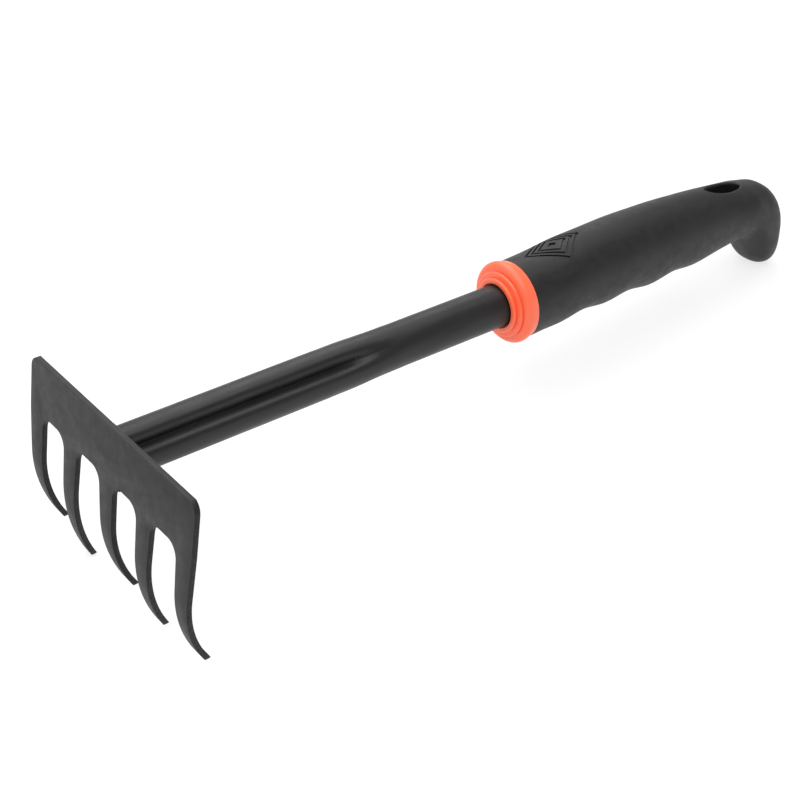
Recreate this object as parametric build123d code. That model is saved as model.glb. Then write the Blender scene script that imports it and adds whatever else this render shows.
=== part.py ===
from build123d import *
import os
from math import cos, exp, pi, radians, sin, sqrt, tan

# Hand rake: a stamped five-tine head, a creased steel tube welded to its back,
# and a moulded grip of a hard core with a stepped collar and a soft outer sleeve.
#
# Everything is drawn in the tool's own layout: X runs along the tube's axis from the
# head to the grip, Y across the head, Z square to the tube on the side away from the
# tines. At the end the whole tool is tipped so that it stands on its tine tips and
# its pommel, with the origin at the middle of the footprint's box.

# --- Head: one piece of sheet steel ---
HEAD_WIDTH = 108.4
SHEET = 2.0
HEAD_FRONT = -0.5          # the front face crosses the tube's axis here
HEAD_TOP = 12.7            # top edge above the tube's axis
HEAD_LEAN = 8.5            # degrees: the lower side stands further from the grip
BAND_HEIGHT = 20.0         # solid band above the slots, measured along the sheet
CORNER_RADIUS = 4.5
STRAIGHT_RUN = 36.6        # from the top edge to the start of the bend
TINE_ROOT = 9.2            # widths of a tine at its root, half way down and at the tip
TINE_MIDDLE = 7.0
TINE_TIP = 4.2
TIP_ROUNDING = 1.5
SLOT_FILLET = 5.5
# Each tine's bend: (degrees, length along the outer face, sideways drift of the tip).
# They are bent by hand and differ a little.
TINE_BENDS = [(38.5, 30.5, -2.5), (34.0, 34.3, 1.4), (39.5, 28.5, -4.4), (36.5, 32.3, 0.9), (41.0, 29.8, 0.0)]

# --- Tube ---
TUBE_RADIUS = 8.25
TUBE_WALL = 1.2
TUBE_END = 256.0           # rear end, inside the grip's core
CREASE_FULL_TO = 84.0      # the pressed crease is at full depth up to here
CREASE_END = 116.0         # from here on the tube is round
CREASE_DEPTH = 3.7
CREASE_HALF_ANGLE = 17.0   # degrees, where the crease has 1/e of its depth
CREASE_TURN = 52.0         # degrees from straight up towards -Y
CREASE_SPREAD = 0.62       # how much the pressed tube widens on each side
SECTION_POINTS = 48

# --- Weld between tube and head ---
WELD_LEG = 2.8

# --- Grip core with its stepped collar ---
BORE_CLEARANCE = 0.05
MOUTH_RADIUS = 9.0         # the bore opens out at its front
MOUTH_DEPTH = 2.5
# Each ring of the collar: (start, radius, rounding of its front corner)
COLLAR_RINGS = [(164.8, 10.8, 0.8), (166.3, 13.0, 0.75), (167.6, 16.1, 2.1)]
RING_GROOVE = 0.4          # width and depth of the groove behind the first two rings
COLLAR_CREST = 170.3       # from here the last ring falls to its rear edge
COLLAR_REAR = 173.3
COLLAR_REAR_RADIUS = 15.3
GAP_DEPTH = 0.7
GAP_WIDTH = 0.3
CORE_RADIUS = 10.6
CORE_END = 262.0
SOCKET_CLEARANCE = 0.02

# --- Soft sleeve ---
SLEEVE_FRONT = COLLAR_REAR + GAP_WIDTH
SLEEVE_FRONT_RADIUS = 15.2
FINGER_PITCH = 25.0
FIRST_FINGER = 201.0       # middle of the first finger seat
FINGER_DEPTH = 1.5
NECK = 296.0               # notch in front of the pommel
POMMEL_END = 316.9
GRIP_SECTION_POINTS = 28

# --- Hang slot through the grip ---
SLOT_CENTRE = 285.6
SLOT_LENGTH = 20.0
SLOT_WIDTH = 8.0
SLOT_RIM_ROUNDING = 0.8

# --- Engraved nested lozenge on top of the grip ---
LOZENGE_CENTRE = (193.0, 1.3)
LOZENGE_LENGTH = 27.4
LOZENGE_WIDTH = 19.6
LOZENGE_SKEW = 0.1         # its widest place stands this share of the width nearer the pommel
LOZENGE_LINES = 3
LOZENGE_STEP = 0.235       # each line is this much smaller than the one outside it
CENTRE_SCALE = 0.16        # the solid diamond in the middle
LINE_WIDTH = 0.9
LINE_DEPTH = 0.6

# The sleeve's outer shape, each a smooth curve through a few points: (x, z) along its top
# and along the crests of its belly, (x, half-width) in plan, and (x, squareness) of the
# lower and upper halves of its cross-sections, where 2 is an ellipse and higher is squarer.
SLEEVE_TOP = [
    (SLEEVE_FRONT, SLEEVE_FRONT_RADIUS), (184.0, 15.8), (200.0, 17.4), (232.0, 18.6), (262.0, 17.4),
    (285.0, 15.1), (300.0, 12.5), (307.5, 10.7), (312.3, 6.8), (315.0, 1.4), (316.3, -4.5),
    (POMMEL_END, -9.0),
]
SLEEVE_BELLY = [
    (SLEEVE_FRONT, -SLEEVE_FRONT_RADIUS), (188.5, -14.4), (213.5, -13.7), (238.5, -13.8), (263.5, -13.0),
    (277.0, -11.4), (288.0, -10.2), (NECK, -10.2), (298.6, -12.0), (301.4, -17.0), (304.0, -22.2),
    (306.6, -25.2), (310.0, -26.4), (313.4, -25.8), (315.7, -23.4), (316.6, -19.8), (POMMEL_END, -15.0),
]
SLEEVE_HALF_WIDTH = [
    (SLEEVE_FRONT, SLEEVE_FRONT_RADIUS), (200.0, 15.0), (237.0, 14.6), (264.0, 13.7), (285.0, 12.5),
    (300.0, 12.6), (308.0, 12.4), (312.4, 11.5), (315.2, 9.4), (316.4, 7.2), (POMMEL_END, 5.2),
]
BELLY_SQUARENESS = [
    (SLEEVE_FRONT, 2.0), (195.0, 2.25), (285.0, 2.3), (302.0, 2.0), (310.0, 2.8), (POMMEL_END, 3.0),
]
CROWN_SQUARENESS = [(SLEEVE_FRONT, 2.0), (285.0, 2.0), (304.0, 2.4), (POMMEL_END, 2.5)]


def smooth(points, x):
    """Height of a smooth curve through the points at x (cubic pieces, shared slopes)."""
    last = len(points) - 1
    i = 0
    while i < last - 1 and x > points[i + 1][0]:
        i += 1

    def slope(k):
        a, b = max(k - 1, 0), min(k + 1, last)
        return (points[b][1] - points[a][1]) / (points[b][0] - points[a][0])

    (x0, y0), (x1, y1) = points[i], points[i + 1]
    span = x1 - x0
    t = (x - x0) / span
    start = (1 + 2 * t) * (1 - t) ** 2 * y0 + t * (1 - t) ** 2 * span * slope(i)
    end = t * t * (3 - 2 * t) * y1 + t * t * (t - 1) * span * slope(i + 1)
    return start + end


def sheet_directions():
    """Unit directions down along the flat sheet and square to it towards the grip, in XZ."""
    lean = radians(HEAD_LEAN)
    return Vector(-sin(lean), -cos(lean)), Vector(cos(lean), -sin(lean))


def sheet_top():
    """Front top edge of the sheet, in XZ."""
    return Vector(HEAD_FRONT + HEAD_TOP * tan(radians(HEAD_LEAN)), HEAD_TOP)


# ------------------------------------------------------------------ head
def band_profile():
    """The flat upper part of the sheet seen from the side, as a face in the XZ plane."""
    down, back = sheet_directions()
    top = sheet_top()
    bottom = top + down * STRAIGHT_RUN
    with BuildSketch(Plane.XZ) as profile:
        Polygon(top, bottom, bottom + back * SHEET, top + back * SHEET, align=None)
    return profile.sketch


def bend_profile(sweep, length):
    """The bent lower part of one tine seen from the side, as a face in the XZ plane."""
    down, back = sheet_directions()
    radius = length / radians(sweep)
    centre = sheet_top() + down * STRAIGHT_RUN + back * radius
    with BuildSketch(Plane.XZ) as profile:
        with BuildLine():
            outer = CenterArc(centre, radius, 180 - HEAD_LEAN, sweep)
            inner = CenterArc(centre, radius - SHEET, 180 - HEAD_LEAN, sweep)
            Line(outer @ 0, inner @ 0)
            Line(outer @ 1, inner @ 1)
        make_face()
    return profile.sketch


def tine_middle(i):
    """Distance of tine i's middle line from the tool's middle plane."""
    reach = HEAD_WIDTH / 2 - TINE_ROOT / 2
    return reach - i * 2 * reach / (len(TINE_BENDS) - 1)


def bent_strips():
    """The bent lower parts of all tines, each as wide as its tine can be."""
    strips = []
    for i, (sweep, length, drift) in enumerate(TINE_BENDS):
        half = TINE_ROOT / 2 + abs(drift)
        strips.append(Pos(0, tine_middle(i), 0) * extrude(bend_profile(sweep, length), half, both=True))
    return strips


def tine_outline(i, slot_top, tip):
    """Front view of tine i between its root and its tip: across the head, then up."""
    root_y = tine_middle(i)
    drift = TINE_BENDS[i][2]
    middle_y, middle_z = root_y + 0.35 * drift, (slot_top + tip) / 2
    tip_y = root_y + drift
    with BuildSketch() as outline:
        with BuildLine():
            edges = []
            for side in (0.5, -0.5):
                root = (root_y + side * TINE_ROOT, slot_top)
                middle = (middle_y + side * TINE_MIDDLE, middle_z)
                edges.append(ThreePointArc(root, middle, (tip_y + side * TINE_TIP, tip)))
            Line(edges[0] @ 0, edges[1] @ 0)
            Line(edges[0] @ 1, edges[1] @ 1)
        make_face()
        fillet(outline.vertices().group_by(Axis.Y)[0], TIP_ROUNDING)
    return outline.sketch


def head_front_outline(tips):
    """The band and its tines seen from the front, as a face in the YZ plane."""
    slot_top = HEAD_TOP - BAND_HEIGHT * cos(radians(HEAD_LEAN))
    band = Pos(0, (HEAD_TOP + slot_top) / 2) * Rectangle(HEAD_WIDTH, HEAD_TOP - slot_top)
    front = fillet(band.vertices().group_by(Axis.Y)[-1], CORNER_RADIUS)
    for i, tip in enumerate(tips):
        front += tine_outline(i, slot_top, tip)
    inner_half = HEAD_WIDTH / 2 - 0.1
    corners = front.vertices().filter_by(lambda v: abs(v.Y - slot_top) < 0.01 and abs(v.X) < inner_half)
    return Plane.YZ * fillet(corners, SLOT_FILLET)


def rake_head():
    """The bent sheet, trimmed to the front outline."""
    strips = bent_strips()
    tips = [strip.bounding_box().min.Z for strip in strips]
    sheet = extrude(band_profile(), HEAD_WIDTH / 2, both=True) + strips
    cutter = extrude(head_front_outline(tips), 60, both=True)
    return sheet & cutter


# ------------------------------------------------------------------ tube
def tube_outline(x, depth_share, growth=0.0, follow_sheet=False):
    """Closed outline of the tube's section at x; growth is the distance outside its surface.

    depth_share runs from 0, round, to 1, fully creased. With follow_sheet the outline lies
    in a plane parallel to the leaning sheet instead of square to the tube.
    """
    points = []
    for k in range(SECTION_POINTS):
        turn = 360.0 * k / SECTION_POINTS
        off = (turn + 180.0) % 360.0 - 180.0
        spread = CREASE_SPREAD * sin(radians(turn)) ** 2
        dent = CREASE_DEPTH * exp(-((off / CREASE_HALF_ANGLE) ** 2))
        radius = TUBE_RADIUS + growth + depth_share * (spread - dent)
        angle = radians(90.0 + CREASE_TURN + turn)
        y = radius * cos(angle)
        z = radius * sin(angle)
        points.append(Vector(x + (z * tan(radians(HEAD_LEAN)) if follow_sheet else 0.0), y, z))
    return Wire(Spline(*points, periodic=True))


def tube_body(growth):
    """The tube's outer shape, or its hollow when growth is minus the wall."""
    creased = Solid.extrude(Face(tube_outline(-6.0, 1.0, growth)), Vector(CREASE_FULL_TO + 6.0, 0, 0))
    run = CREASE_END - CREASE_FULL_TO
    stations = [(0.0, 1.0), (0.25, 0.93), (0.5, 0.62), (0.75, 0.22)]
    rings = [tube_outline(CREASE_FULL_TO + t * run, share, growth) for t, share in stations]
    # The blend ends in a hair-thin lip that dips under the surface of the round end.
    rings.append(tube_outline(CREASE_END, 0.0, growth + 0.03))
    rings.append(tube_outline(CREASE_END + 3.0, 0.0, growth - 0.1))
    round_length = TUBE_END - CREASE_END
    round_end = Cylinder(TUBE_RADIUS + growth, round_length, rotation=(0, 90, 0))
    return creased + Solid.make_loft(rings) + Pos(CREASE_END + round_length / 2, 0, 0) * round_end


def back_of_sheet():
    """Where the sheet's back face crosses the tube's axis."""
    return HEAD_FRONT + SHEET / cos(radians(HEAD_LEAN))


def behind_sheet(body):
    """What is left of a body behind the sheet's back face."""
    lean = radians(HEAD_LEAN)
    face = Plane(origin=(back_of_sheet(), 0, 0), z_dir=(cos(lean), 0, -sin(lean)))
    return split(body, bisect_by=face, keep=Keep.TOP)


def shaft_tube():
    """Hollow steel tube, creased along its front part and cut to the leaning sheet."""
    return behind_sheet(tube_body(0.0) - tube_body(-TUBE_WALL))


def weld_bead():
    """Fillet weld all round the tube on the sheet's back face."""
    start = back_of_sheet()
    profile = [(0.0, 1.0), (0.35, 0.8), (0.7, 0.45), (1.0, 0.06)]
    rings = [tube_outline(start + WELD_LEG * t, 1.0, WELD_LEG * share, True) for t, share in profile]
    return Solid.make_loft(rings) - tube_body(0.0)


# ------------------------------------------------------------------ grip core
def turned_about_x(points, rounded):
    """Solid turned about X from (x, radius) points; rounded lists (point, rounding) pairs."""
    with BuildPart() as turned:
        with BuildSketch(Plane.XZ) as half:
            Polygon(*points, align=None)
            for point, rounding in rounded:
                corner = half.vertices().sort_by_distance(Vector(point[0], point[1], 0))[0]
                fillet(corner, rounding)
        revolve(axis=Axis.X)
    return turned.part


def grip_core():
    """Hard core on the tube; its front end is the stepped collar that shows."""
    bore = TUBE_RADIUS + BORE_CLEARANCE
    front = COLLAR_RINGS[0][0]
    points = [(front + MOUTH_DEPTH, bore), (front, MOUTH_RADIUS)]
    for i, (start, radius, _) in enumerate(COLLAR_RINGS[:-1]):
        next_start = COLLAR_RINGS[i + 1][0]
        points += [(start, radius), (next_start - RING_GROOVE, radius)]
        points += [(next_start - RING_GROOVE, radius - RING_GROOVE), (next_start, radius - RING_GROOVE)]
    crest = COLLAR_RINGS[-1][1]
    shoulder = COLLAR_REAR_RADIUS - GAP_DEPTH
    points += [
        (COLLAR_RINGS[-1][0], crest), (COLLAR_CREST, crest), (COLLAR_REAR, COLLAR_REAR_RADIUS),
        (COLLAR_REAR, shoulder), (SLEEVE_FRONT, shoulder), (SLEEVE_FRONT, CORE_RADIUS),
        (CORE_END, CORE_RADIUS), (CORE_END, 0.0), (TUBE_END, 0.0), (TUBE_END, bore),
    ]
    rounded = [((start, radius), rounding) for start, radius, rounding in COLLAR_RINGS]
    rounded.append(((COLLAR_CREST, crest), 3.0))
    return turned_about_x(points, rounded)


# ------------------------------------------------------------------ soft sleeve
def belly(x):
    """Lowest line of the sleeve: smooth crests with the finger seats cut into them."""
    last_crest = FIRST_FINGER + 2.5 * FINGER_PITCH
    first_crest = FIRST_FINGER - 0.5 * FINGER_PITCH
    seat = 0.0
    if first_crest < x < last_crest:
        seat = FINGER_DEPTH * 0.5 * (1 + cos(2 * pi * (x - FIRST_FINGER) / FINGER_PITCH))
    return smooth(SLEEVE_BELLY, x) + seat


def sleeve_outline(x, inset=0.0):
    """Closed outline of the sleeve's section at x, inset by a distance on every side."""
    top = smooth(SLEEVE_TOP, x) - inset
    bottom = belly(x) + inset
    half_width = smooth(SLEEVE_HALF_WIDTH, x) - inset
    middle = (top + bottom) / 2
    half_height = (top - bottom) / 2
    points = []
    for k in range(GRIP_SECTION_POINTS):
        a = 2 * pi * k / GRIP_SECTION_POINTS
        power = 2 / smooth(CROWN_SQUARENESS if a < pi else BELLY_SQUARENESS, x)
        y = half_width * abs(cos(a)) ** power * (1 if cos(a) > 0 else -1)
        z = half_height * abs(sin(a)) ** power * (1 if sin(a) > 0 else -1)
        points.append(Vector(x, y, middle + z))
    return Wire(Spline(*points, periodic=True))


def sleeve_body():
    """The whole outer shape of the sleeve, without its socket, slot and engraving."""
    stations = [SLEEVE_FRONT, 179.0, 184.0]
    stations += [FIRST_FINGER + FINGER_PITCH * (k - 2) / 4 for k in range(13)]
    stations += [269.5, 276.0, 282.0, 287.0, 291.0, 294.0, NECK, 297.3, 298.6, 300.0, 301.4, 303.0, 305.0]
    stations += [307.5, 310.0, 312.4, 314.2, 315.5, 316.4, POMMEL_END]
    return Solid.make_loft([sleeve_outline(x) for x in stations])


def lozenge_prism(length, width):
    """Upright diamond-shaped prism on the top of the grip."""
    widest = LOZENGE_SKEW * width
    corners = [(length / 2, 0), (widest, width / 2), (-length / 2, 0), (widest, -width / 2)]
    return extrude(Pos(*LOZENGE_CENTRE, 5) * Polygon(*corners, align=None), 20)


def lozenge_line(scale):
    """One line of the nested lozenge, as an upright frame of constant line width."""
    length = LOZENGE_LENGTH * scale
    width = LOZENGE_WIDTH * scale
    diagonal = sqrt(length ** 2 + width ** 2)
    trim_along = 2 * LINE_WIDTH * diagonal / width
    trim_across = 2 * LINE_WIDTH * diagonal / length
    return lozenge_prism(length, width) - lozenge_prism(length - trim_along, width - trim_across)


def engraving():
    """The nested lozenge and its small solid centre, as deep as they are cut in."""
    lines = lozenge_prism(LOZENGE_LENGTH * CENTRE_SCALE, LOZENGE_WIDTH * CENTRE_SCALE)
    for k in range(LOZENGE_LINES):
        lines += lozenge_line(1.0 - k * LOZENGE_STEP)
    reach = [SLEEVE_FRONT, 179.0, 184.0] + [FIRST_FINGER + FINGER_PITCH * (k - 2) / 4 for k in range(5)]
    return lines - Solid.make_loft([sleeve_outline(x, LINE_DEPTH) for x in reach])


def grip_sleeve():
    """Soft outer sleeve with finger seats, hooked pommel, hang slot and engraving."""
    socket_length = CORE_END - SLEEVE_FRONT
    socket = Cylinder(CORE_RADIUS + SOCKET_CLEARANCE, socket_length + 2, rotation=(0, 90, 0))
    slot = extrude(Pos(SLOT_CENTRE, 0, -40) * Ellipse(SLOT_LENGTH / 2, SLOT_WIDTH / 2), 80)
    slotted = sleeve_body() - slot
    rims = slotted.edges().filter_by(lambda e: SLOT_LENGTH * 2 < e.length < SLOT_LENGTH * 2.6)
    rims = rims.filter_by(lambda e: e.center().X < SLOT_CENTRE)
    rounded = slotted.solids()[0].fillet(SLOT_RIM_ROUNDING, rims)
    return rounded - Pos(SLEEVE_FRONT + socket_length / 2 - 1, 0, 0) * socket - engraving()


# ------------------------------------------------------------------ placing
def standing_tilt(head, sleeve):
    """Angle in degrees that brings tine tips and pommel down to one level."""
    low, high = 0.0, 15.0
    for _ in range(16):
        middle = (low + high) / 2
        tips = head.rotate(Axis.Y, middle).bounding_box().min.Z
        pommel = sleeve.rotate(Axis.Y, middle).bounding_box().min.Z
        if pommel > tips:
            low = middle
        else:
            high = middle
    return (low + high) / 2


def main():
    pieces = {
        "rake_head": rake_head(),
        "weld_bead": weld_bead(),
        "shaft_tube": shaft_tube(),
        "grip_core": grip_core(),
        "grip_sleeve": grip_sleeve(),
    }
    tilt = standing_tilt(pieces["rake_head"], pieces["grip_sleeve"])
    tipped = {name: piece.rotate(Axis.Y, tilt) for name, piece in pieces.items()}
    boxes = [piece.bounding_box() for piece in tipped.values()]
    low = Vector(min(b.min.X for b in boxes), min(b.min.Y for b in boxes), min(b.min.Z for b in boxes))
    high = Vector(max(b.max.X for b in boxes), max(b.max.Y for b in boxes), max(b.max.Z for b in boxes))
    shift = Vector(-(low.X + high.X) / 2, -(low.Y + high.Y) / 2, -low.Z)
    os.makedirs("parts", exist_ok=True)
    for name, piece in tipped.items():
        export_step(Pos(shift) * piece, os.path.join("parts", name + ".step"))
    print("tilt", round(tilt, 3), "shift", shift, "size", high - low)


main()
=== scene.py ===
import math

import bmesh
import bpy
from mathutils import Matrix, Vector


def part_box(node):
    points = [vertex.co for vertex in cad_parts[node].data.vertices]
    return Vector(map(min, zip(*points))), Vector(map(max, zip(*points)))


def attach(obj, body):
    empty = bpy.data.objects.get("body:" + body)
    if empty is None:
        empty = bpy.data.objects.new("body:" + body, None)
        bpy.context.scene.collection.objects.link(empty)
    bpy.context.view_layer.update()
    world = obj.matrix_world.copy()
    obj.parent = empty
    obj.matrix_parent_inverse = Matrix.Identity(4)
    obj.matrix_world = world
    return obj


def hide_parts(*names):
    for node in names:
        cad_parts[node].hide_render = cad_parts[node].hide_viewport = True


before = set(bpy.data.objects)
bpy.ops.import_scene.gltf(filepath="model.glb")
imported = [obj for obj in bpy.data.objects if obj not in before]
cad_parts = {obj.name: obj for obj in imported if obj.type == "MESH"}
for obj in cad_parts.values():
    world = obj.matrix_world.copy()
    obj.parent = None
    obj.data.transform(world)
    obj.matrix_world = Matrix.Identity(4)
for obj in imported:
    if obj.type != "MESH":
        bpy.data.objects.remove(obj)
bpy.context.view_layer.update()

# Camera: where it stands in metres, and its angles in degrees
CAMERA_AT = (-0.30519, -0.39487, 0.37549)
CAMERA_AZIMUTH = -34.222      # 0 looks along +Y, positive turns towards -X
CAMERA_ELEVATION = 36.626
CAMERA_ROLL = -5.263
LENS = 72.0                   # millimetres
SENSOR = 36.0
FAR_CLIP = 20.0               # metres

# Studio, in metres and watts
WORLD_LEVEL = 0.45
TOP_LIGHT_AT = (-0.15, 0.25, 1.6)
TOP_LIGHT_SIZE = 2.6
TOP_LIGHT_POWER = 42.0
BACK_LIGHT_AT = (0.75, 1.1, 1.0)
BACK_LIGHT_SIZE = 0.9
BACK_LIGHT_POWER = 5.0
LIGHT_AIM = (0.0, 0.0, 0.03)
TABLE_GLOW = 0.76
FLOOR_REACH = 12.0            # from the middle to each side, so that low views show no corner

# Edges of the head, in metres and degrees
JOIN_DISTANCE = 0.000001      # points nearer than this are one
FLAT_ANGLE = 0.6              # faces that meet at less than this are one flat face
SHARP_ANGLE = 40.0            # edges sharper than this are rounded
PLATE_ROUNDING = 0.00045
HEAD_SMOOTH_ANGLE = 50.0      # faces that meet at less than this shade as one surface

# How far a face of the head has to lean, as a share of its normal, to get the darker edge material:
# sideways for the cut sides, upwards and forwards for the front top rim
CUT_SIDEWAYS = 0.35
RIM_UPWARDS = 0.35
RIM_FORWARDS = -0.3

# Ripples of the weld, in metres and degrees
WELD_EDGE = 0.0007            # edges of the bead's mesh that are longer than this are split
WELD_RIPPLES = 22
WELD_RIPPLE_HEIGHT = 0.00028
WELD_RIPPLES_FROM = 0.76      # share of the bead's reach where the ripples begin
WELD_RIPPLE_RISE = 6.0        # how fast they reach full height from there outwards
WELD_RIPPLE_POWER = 0.7       # below 1 makes the ripples round with narrow grooves between them
WELD_SMOOTH_ANGLE = 60.0


# ---------------------------------------------------------------- materials
class Shader:
    """A Principled material that is put together from a few kinds of detail.

    The plain colour and roughness are what stays where no detail is laid over them.
    """

    def __init__(self, name, color, roughness):
        self.mat = bpy.data.materials.new(name)
        self.mat.use_nodes = True
        self.nodes = self.mat.node_tree.nodes
        self.links = self.mat.node_tree.links
        self.bsdf = self.nodes["Principled BSDF"]
        self.bsdf.inputs["Base Color"].default_value = (*color, 1.0)
        self.bsdf.inputs["Roughness"].default_value = roughness
        self.place = self.nodes.new("ShaderNodeTexCoord").outputs["Object"]
        self.relief = None

    def noise(self, grain, detail=2.0, stretch=None):
        """Noise whose grains are about this many metres across, drawn out along X if asked."""
        tex = self.nodes.new("ShaderNodeTexNoise")
        tex.inputs["Scale"].default_value = 1.0 / grain
        tex.inputs["Detail"].default_value = detail
        place = self.place
        if stretch:
            mapping = self.nodes.new("ShaderNodeMapping")
            mapping.inputs["Scale"].default_value = (1.0 / stretch, 1.0, 1.0)
            self.links.new(place, mapping.inputs["Vector"])
            place = mapping.outputs["Vector"]
        self.links.new(place, tex.inputs["Vector"])
        return tex.outputs["Fac"]

    def spread(self, value, low, high, from_low=0.3, from_high=0.7):
        """The value's usual range mapped onto low to high."""
        ranged = self.nodes.new("ShaderNodeMapRange")
        limits = {"From Min": from_low, "From Max": from_high, "To Min": low, "To Max": high}
        for key, number in limits.items():
            ranged.inputs[key].default_value = number
        self.links.new(value, ranged.inputs["Value"])
        return ranged.outputs["Result"]

    def tint(self, value, dark, light):
        """Colour that runs from dark to light with the value."""
        mix = self.nodes.new("ShaderNodeMix")
        mix.data_type = "RGBA"
        mix.inputs["A"].default_value = (*dark, 1.0)
        mix.inputs["B"].default_value = (*light, 1.0)
        self.links.new(self.spread(value, 0.0, 1.0), mix.inputs["Factor"])
        self.links.new(mix.outputs["Result"], self.bsdf.inputs["Base Color"])

    def rough(self, value, low, high):
        self.links.new(self.spread(value, low, high), self.bsdf.inputs["Roughness"])

    def bump(self, value, height):
        """Relief of this many metres; several calls add up."""
        node = self.nodes.new("ShaderNodeBump")
        node.inputs["Strength"].default_value = 1.0
        node.inputs["Distance"].default_value = height
        self.links.new(value, node.inputs["Height"])
        if self.relief:
            self.links.new(self.relief, node.inputs["Normal"])
        self.relief = node.outputs["Normal"]
        self.links.new(self.relief, self.bsdf.inputs["Normal"])


def coated_sheet():
    """Satin powder coat on sheet steel: orange peel, fine grain and faint clouds."""
    s = Shader("coated_steel_sheet", (0.026, 0.026, 0.0265), 0.55)
    s.tint(s.noise(0.005, 4.0), (0.027, 0.027, 0.0275), (0.034, 0.034, 0.0345))
    s.bsdf.inputs["Specular IOR Level"].default_value = 0.26
    s.rough(s.noise(0.004, 3.0), 0.5, 0.62)
    s.bump(s.noise(0.0011, 2.0), 0.00003)
    s.bump(s.noise(0.0003, 1.0), 0.00001)
    return s.mat


def sheared_edge():
    """The coated cut edge of the sheet, rougher where the die has torn it."""
    s = Shader("coated_cut_edge", (0.04, 0.04, 0.041), 0.5)
    s.tint(s.noise(0.002, 3.0), (0.006, 0.006, 0.0062), (0.016, 0.016, 0.0165))
    s.bsdf.inputs["Specular IOR Level"].default_value = 0.3
    s.rough(s.noise(0.0015, 3.0), 0.4, 0.62)
    s.bump(s.noise(0.0009, 3.0), 0.00009)
    return s.mat


def coated_tube():
    """Satin paint over drawn tube: faint lengthwise draw lines under fine grain."""
    s = Shader("coated_steel_tube", (0.016, 0.016, 0.017), 0.4)
    s.tint(s.noise(0.003, 4.0, stretch=5.0), (0.009, 0.009, 0.0095), (0.015, 0.015, 0.0155))
    s.bsdf.inputs["Specular IOR Level"].default_value = 0.36
    s.rough(s.noise(0.005, 3.0, stretch=3.0), 0.34, 0.48)
    s.bump(s.noise(0.0012, 2.0, stretch=4.0), 0.00002)
    s.bump(s.noise(0.0004, 1.0), 0.00001)
    return s.mat


def weld_metal():
    """The same coat over the weld, where it lies unevenly."""
    s = Shader("coated_weld", (0.022, 0.022, 0.023), 0.42)
    s.tint(s.noise(0.0015, 3.0), (0.016, 0.016, 0.017), (0.030, 0.030, 0.031))
    s.rough(s.noise(0.001, 2.0), 0.36, 0.52)
    s.bump(s.noise(0.0006, 2.0), 0.00004)
    return s.mat


def orange_plastic():
    """Injection-moulded plastic with a satin surface."""
    s = Shader("orange_plastic", (1.0, 0.155, 0.065), 0.36)
    s.tint(s.noise(0.006, 2.0), (1.0, 0.145, 0.058), (1.0, 0.165, 0.072))
    s.rough(s.noise(0.002, 2.0), 0.30, 0.42)
    s.bump(s.noise(0.0008, 2.0), 0.000012)
    s.bsdf.inputs["Subsurface Weight"].default_value = 0.08
    s.bsdf.inputs["Subsurface Scale"].default_value = 0.002
    # The emission is painted light: a faint glow that lifts the orange where it lies in shade.
    s.bsdf.inputs["Emission Color"].default_value = (1.0, 0.17, 0.09, 1.0)
    s.bsdf.inputs["Emission Strength"].default_value = 0.06
    return s.mat


def black_rubber():
    """Soft-touch rubber: sandblasted grain, handling marks and a dusty sheen."""
    s = Shader("black_rubber", (0.007, 0.007, 0.0072), 0.52)
    s.tint(s.noise(0.004, 5.0), (0.0035, 0.0035, 0.0037), (0.0095, 0.0095, 0.0098))
    s.bsdf.inputs["Specular IOR Level"].default_value = 0.46
    s.rough(s.noise(0.004, 4.0), 0.44, 0.62)
    s.bump(s.noise(0.00045, 2.0), 0.00003)
    s.bump(s.noise(0.003, 3.0), 0.00004)
    s.bsdf.inputs["Sheen Weight"].default_value = 0.05
    s.bsdf.inputs["Sheen Roughness"].default_value = 0.35
    return s.mat


def light_table():
    """White translucent studio table, lit from below so that shadows stay faint."""
    s = Shader("light_table", (0.28, 0.28, 0.28), 0.9)
    s.bsdf.inputs["Specular IOR Level"].default_value = 0.0
    s.bsdf.inputs["Emission Color"].default_value = (1.0, 1.0, 1.0, 1.0)
    s.bsdf.inputs["Emission Strength"].default_value = TABLE_GLOW
    return s.mat


# ---------------------------------------------------------------- pieces
def dress(node, mat):
    """Gives a CAD node that is carried over its material."""
    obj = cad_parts[node]
    obj.data.materials.clear()
    obj.data.materials.append(mat)


def clean_copy(node):
    """The node's mesh, joined up at its sharp edges and with each flat face in one piece."""
    bm = bmesh.new()
    bm.from_mesh(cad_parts[node].data)
    bmesh.ops.remove_doubles(bm, verts=bm.verts, dist=JOIN_DISTANCE)
    bmesh.ops.dissolve_limit(
        bm, angle_limit=math.radians(FLAT_ANGLE), verts=bm.verts, edges=bm.edges,
        use_dissolve_boundaries=False)
    return bm


def add_piece(name, bm, mats, node):
    """Object made from the bmesh that stands for the CAD node."""
    mesh = bpy.data.meshes.new(name)
    bm.to_mesh(mesh)
    bm.free()
    for mat in mats:
        mesh.materials.append(mat)
    piece = bpy.data.objects.new(name, mesh)
    bpy.context.scene.collection.objects.link(piece)
    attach(piece, "root")
    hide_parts(node)
    return piece


def smooth_by_angle(bm, degrees):
    """Smooth faces, with a hard edge wherever two faces meet at more than this angle."""
    for face in bm.faces:
        face.smooth = True
    for edge in bm.edges:
        edge.smooth = not edge.is_manifold or edge.calc_face_angle(0.0) < math.radians(degrees)


def mark_cut_edges(bm):
    """Second material for the sides that the die has cut and for the front top rim."""
    for face in bm.faces:
        side = abs(face.normal.y) > CUT_SIDEWAYS
        # The front top rim gets the darker edge colour too, which draws a dark line along the top edge.
        front_rim = face.normal.z > RIM_UPWARDS and face.normal.x < RIM_FORWARDS
        if side or front_rim:
            face.material_index = 1


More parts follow.
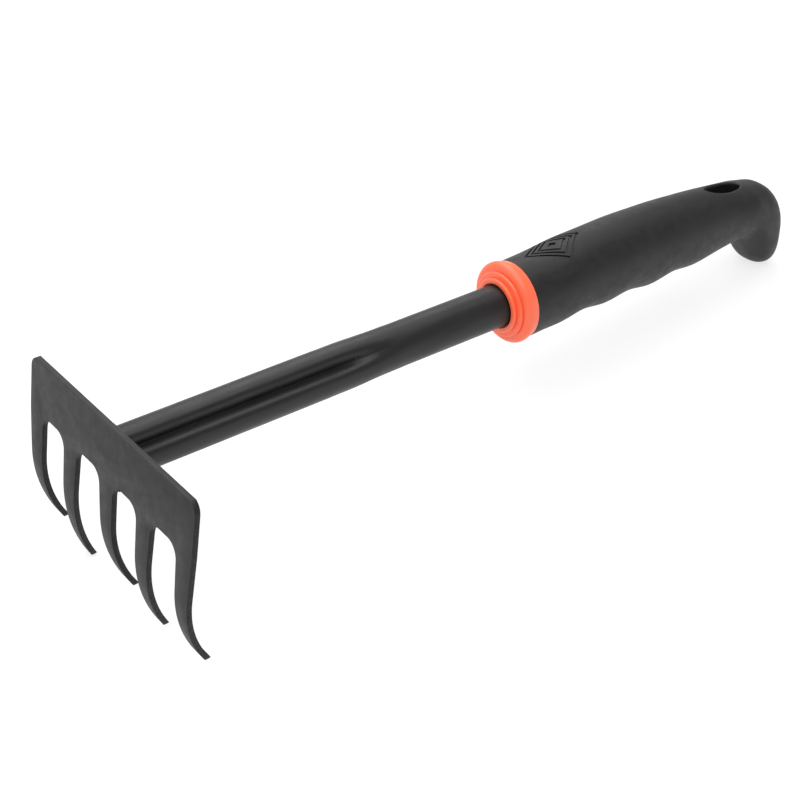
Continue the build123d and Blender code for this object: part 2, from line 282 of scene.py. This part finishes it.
def rounded_head():
    """The stamped head with its edges rounded as the coat rounds them."""
    bm = clean_copy("rake_head")
    sharp = [e for e in bm.edges if e.is_manifold and e.calc_face_angle(0.0) > math.radians(SHARP_ANGLE)]
    bmesh.ops.bevel(
        bm, geom=sharp, offset=PLATE_ROUNDING, offset_type="OFFSET", segments=2, profile=0.5,
        affect="EDGES", clamp_overlap=True)
    smooth_by_angle(bm, HEAD_SMOOTH_ANGLE)
    mark_cut_edges(bm)
    return add_piece("head_plate", bm, [coated_sheet(), sheared_edge()], "rake_head")


def rippled_weld():
    """The weld bead with the ripples that its pools leave behind."""
    bm = clean_copy("weld_bead")
    bmesh.ops.triangulate(bm, faces=bm.faces)
    for _ in range(2):
        long_edges = [e for e in bm.edges if e.calc_length() > WELD_EDGE]
        bmesh.ops.subdivide_edges(bm, edges=long_edges, cuts=1, use_grid_fill=True)
    bmesh.ops.triangulate(bm, faces=bm.faces)
    bm.normal_update()
    low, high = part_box("weld_bead")
    middle = [(a + b) / 2 for a, b in zip(low, high)]
    reach = (high[1] - low[1]) / 2
    for vert in bm.verts:
        across = vert.co.y - middle[1]
        up = vert.co.z - middle[2]
        ripple = abs(math.sin(math.atan2(up, across) * WELD_RIPPLES / 2)) ** WELD_RIPPLE_POWER
        outwards = (math.hypot(up, across) / reach - WELD_RIPPLES_FROM) * WELD_RIPPLE_RISE
        vert.co += vert.normal * WELD_RIPPLE_HEIGHT * ripple * min(1.0, max(0.0, outwards))
    smooth_by_angle(bm, WELD_SMOOTH_ANGLE)
    return add_piece("weld_rippled", bm, [weld_metal()], "weld_bead")


# ---------------------------------------------------------------- studio
def add_camera():
    """Camera at the photograph's viewing angle."""
    data = bpy.data.cameras.new("photo_camera")
    data.lens = LENS
    data.sensor_width = SENSOR
    data.clip_end = FAR_CLIP
    camera = bpy.data.objects.new("photo_camera", data)
    bpy.context.scene.collection.objects.link(camera)
    turn = (Matrix.Rotation(math.radians(CAMERA_AZIMUTH), 4, "Z")
            @ Matrix.Rotation(math.radians(90.0 - CAMERA_ELEVATION), 4, "X")
            @ Matrix.Rotation(math.radians(CAMERA_ROLL), 4, "Z"))
    camera.matrix_world = Matrix.Translation(CAMERA_AT) @ turn
    bpy.context.scene.camera = camera


def add_floor():
    """Plain pale floor that reaches far beyond the picture."""
    mesh = bpy.data.meshes.new("floor")
    corners = [(-1, -1), (1, -1), (1, 1), (-1, 1)]
    mesh.from_pydata([(x * FLOOR_REACH, y * FLOOR_REACH, 0) for x, y in corners], [], [(0, 1, 2, 3)])
    floor = bpy.data.objects.new("floor", mesh)
    bpy.context.scene.collection.objects.link(floor)
    mesh.materials.append(light_table())


def add_light(name, at, size, power):
    """Square soft light that points at the tool."""
    data = bpy.data.lights.new(name, "AREA")
    data.shape = "SQUARE"
    data.size = size
    data.energy = power
    light = bpy.data.objects.new(name, data)
    bpy.context.scene.collection.objects.link(light)
    light.location = at
    light.rotation_euler = (Vector(LIGHT_AIM) - Vector(at)).to_track_quat("-Z", "Y").to_euler()


def add_world():
    """Even white surroundings."""
    world = bpy.data.worlds.new("studio")
    bpy.context.scene.world = world
    world.use_nodes = True
    back = world.node_tree.nodes["Background"]
    back.inputs["Color"].default_value = (1, 1, 1, 1)
    back.inputs["Strength"].default_value = WORLD_LEVEL


bpy.context.scene.view_settings.view_transform = "Standard"
rounded_head()
rippled_weld()
dress("shaft_tube", coated_tube())
dress("grip_core", orange_plastic())
dress("grip_sleeve", black_rubber())
add_camera()
add_floor()
add_world()
add_light("top", TOP_LIGHT_AT, TOP_LIGHT_SIZE, TOP_LIGHT_POWER)
add_light("back", BACK_LIGHT_AT, BACK_LIGHT_SIZE, BACK_LIGHT_POWER)
